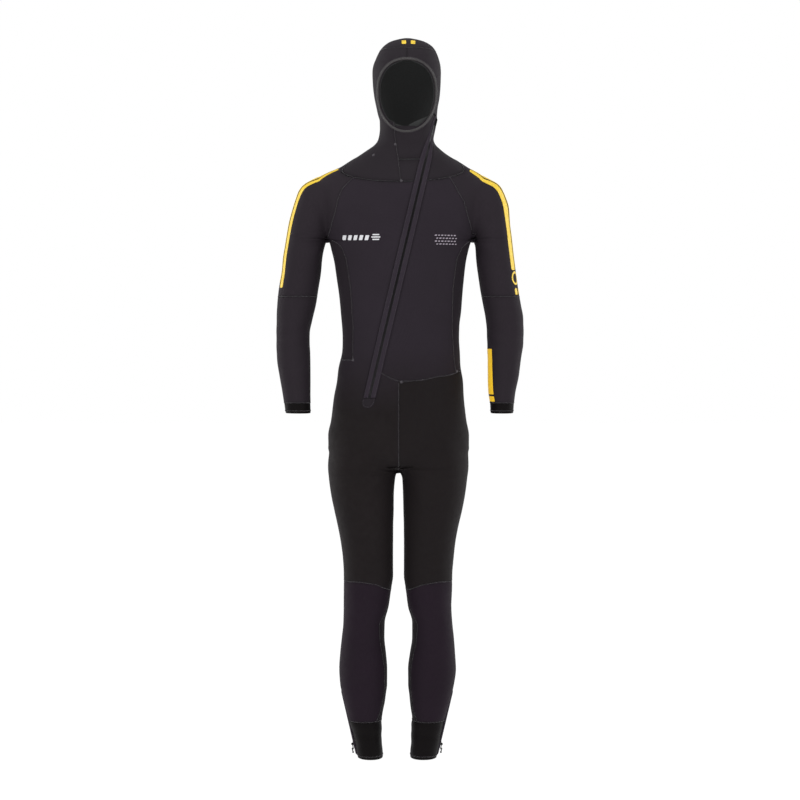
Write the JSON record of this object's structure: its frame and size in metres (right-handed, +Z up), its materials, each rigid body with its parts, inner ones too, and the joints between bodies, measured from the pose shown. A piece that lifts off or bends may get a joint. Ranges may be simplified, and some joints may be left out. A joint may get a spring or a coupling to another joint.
{
  "type": "full wetsuit",
  "caption": "Full-length hooded diving wetsuit with long sleeves, a diagonal front zip from jaw to belly, ankle zips, panelled body and seamed limbs.",
  "frame": {"origin": "on the plane of the ankle hems, midway between the ankles", "axes": "+Z up towards the hood, -Y the wearer's front, +X the wearer's left"},
  "size_m": [0.5736, 0.2475, 1.6645],
  "materials": {
    "body_jersey": "matt charcoal nylon jersey laminated on neoprene",
    "shin_jersey": "matt hard-wearing jersey with a slight purple cast",
    "smooth_skin_seal": "near-black smooth-skin seal",
    "hood_rim": "rolled satin rubber rim",
    "flap_neoprene": "thin lined neoprene",
    "zip_tape": "woven tape under stitched jersey bands",
    "zip_chain": "black moulded teeth",
    "zip_hardware": "dark acetal",
    "zip_puller": "dark moulded tab",
    "pull_cord": "braided grey cord",
    "print_yellow": "rubbery yellow transfer print",
    "print_white": "white transfer print"
  },
  "bodies": {
    "torso": {"front_panel_right": "body_jersey", "front_panel_left": "body_jersey", "side_panel_right": "body_jersey", "side_panel_left": "body_jersey", "back_panel": "body_jersey", "crotch_gusset": "flap_neoprene", "throat_panel": "body_jersey", "chin_panel": "body_jersey", "hood_side_right": "body_jersey", "hood_side_left": "body_jersey", "hood_crown": "body_jersey", "hood_back_strip": "body_jersey", "face_seal": "hood_rim", "front_zip_tape_right": "zip_tape", "front_zip_tape_left": "zip_tape", "front_zip_chain_right": "zip_chain", "front_zip_chain_left": "zip_chain", "front_zip_underflap": "flap_neoprene", "front_zip_top_stop": "zip_hardware", "front_zip_bottom_stop": "zip_hardware", "front_zip_end_flap": "flap_neoprene"},
    "front_slider": {"front_zip_slider": "zip_hardware"},
    "front_puller": {"front_zip_puller": "zip_puller", "front_zip_pull_cord": "pull_cord"},
    "upper_arm_right": {"upper_sleeve_right": "body_jersey"},
    "forearm_right": {"forearm_sleeve_right": "body_jersey", "wrist_cuff_right": "smooth_skin_seal"},
    "thigh_right": {"thigh_front_right": "body_jersey", "thigh_back_right": "body_jersey"},
    "shin_right": {"shin_panel_right": "shin_jersey", "calf_panel_right": "shin_jersey", "ankle_cuff_right": "smooth_skin_seal", "ankle_zip_tapes_right": "zip_tape", "ankle_zip_chains_right": "zip_chain", "ankle_zip_gusset_right": "flap_neoprene", "ankle_zip_stops_right": "zip_hardware"},
    "ankle_slider_right": {"ankle_zip_slider_right": "zip_hardware"},
    "ankle_puller_right": {"ankle_zip_puller_right": "zip_puller", "ankle_zip_pull_cord_right": "pull_cord"},
    "upper_arm_left": {"upper_sleeve_left": "body_jersey"},
    "forearm_left": {"forearm_sleeve_left": "body_jersey", "wrist_cuff_left": "smooth_skin_seal"},
    "thigh_left": {"thigh_front_left": "body_jersey", "thigh_back_left": "body_jersey"},
    "shin_left": {"shin_panel_left": "shin_jersey", "calf_panel_left": "shin_jersey", "ankle_cuff_left": "smooth_skin_seal", "ankle_zip_tapes_left": "zip_tape", "ankle_zip_chains_left": "zip_chain", "ankle_zip_gusset_left": "flap_neoprene", "ankle_zip_stops_left": "zip_hardware"},
    "ankle_slider_left": {"ankle_zip_slider_left": "zip_hardware"},
    "ankle_puller_left": {"ankle_zip_puller_left": "zip_puller", "ankle_zip_pull_cord_left": "pull_cord"}
  },
  "joints": [
    {"name": "front_zip_travel", "type": "hinge", "parent": "torso", "child": "front_slider", "pos_m": [-0.01834, 1.08284, 1.05314], "axis": [0.9731, 0, -0.2305], "range_deg": [0, 30.63]},
    {"name": "front_puller_swing", "type": "hinge", "parent": "front_slider", "child": "front_puller", "pos_m": [0.08045, -0.04888, 1.47022], "axis": [-0.9731, 0, 0.2305], "range_deg": [0, 140]},
    {"name": "shoulder_swing_right", "type": "hinge", "parent": "torso", "child": "upper_arm_right", "pos_m": [-0.218, 0.003, 1.135], "axis": [-1, 0, 0], "range_deg": [-25, 60], "deforming": ["upper_sleeve_right"]},
    {"name": "elbow_bend_right", "type": "hinge", "parent": "upper_arm_right", "child": "forearm_right", "pos_m": [-0.248, 0, 0.98], "axis": [-1, 0, 0], "range_deg": [0, 90], "deforming": ["forearm_sleeve_right"]},
    {"name": "hip_bend_right", "type": "hinge", "parent": "torso", "child": "thigh_right", "pos_m": [-0.088, 0.003, 0.625], "axis": [-1, 0, 0], "range_deg": [-10, 55], "deforming": ["thigh_front_right", "thigh_back_right"]},
    {"name": "knee_bend_right", "type": "hinge", "parent": "thigh_right", "child": "shin_right", "pos_m": [-0.082, -0.002, 0.322], "axis": [1, 0, 0], "range_deg": [0, 75], "deforming": ["shin_panel_right", "calf_panel_right"]},
    {"name": "ankle_zip_travel_right", "type": "slide", "parent": "shin_right", "child": "ankle_slider_right", "axis": [-0.2314, 0.0643, 0.9707], "range_m": [0, 0.11]},
    {"name": "ankle_puller_swing_right", "type": "hinge", "parent": "ankle_slider_right", "child": "ankle_puller_right", "pos_m": [-0.11124, -0.00052, 0.0293], "axis": [0, 0.9978, -0.0661], "range_deg": [0, 140]},
    {"name": "shoulder_swing_left", "type": "hinge", "parent": "torso", "child": "upper_arm_left", "pos_m": [0.2165, 0.003, 1.135], "axis": [-1, 0, 0], "range_deg": [-25, 60], "deforming": ["upper_sleeve_left"]},
    {"name": "elbow_bend_left", "type": "hinge", "parent": "upper_arm_left", "child": "forearm_left", "pos_m": [0.2425, 0, 0.98], "axis": [-1, 0, 0], "range_deg": [0, 90], "deforming": ["forearm_sleeve_left"]},
    {"name": "hip_bend_left", "type": "hinge", "parent": "torso", "child": "thigh_left", "pos_m": [0.08, 0.003, 0.625], "axis": [-1, 0, 0], "range_deg": [-10, 55], "deforming": ["thigh_front_left", "thigh_back_left"]},
    {"name": "knee_bend_left", "type": "hinge", "parent": "thigh_left", "child": "shin_left", "pos_m": [0.072, -0.002, 0.322], "axis": [1, 0, 0], "range_deg": [0, 75], "deforming": ["shin_panel_left", "calf_panel_left"]},
    {"name": "ankle_zip_travel_left", "type": "slide", "parent": "shin_left", "child": "ankle_slider_left", "axis": [0.2345, 0.0642, 0.97], "range_m": [0, 0.11]},
    {"name": "ankle_puller_swing_left", "type": "hinge", "parent": "ankle_slider_left", "child": "ankle_puller_left", "pos_m": [0.09731, -0.00052, 0.02927], "axis": [0, -0.9978, 0.0661], "range_deg": [0, 140]}
  ]
}
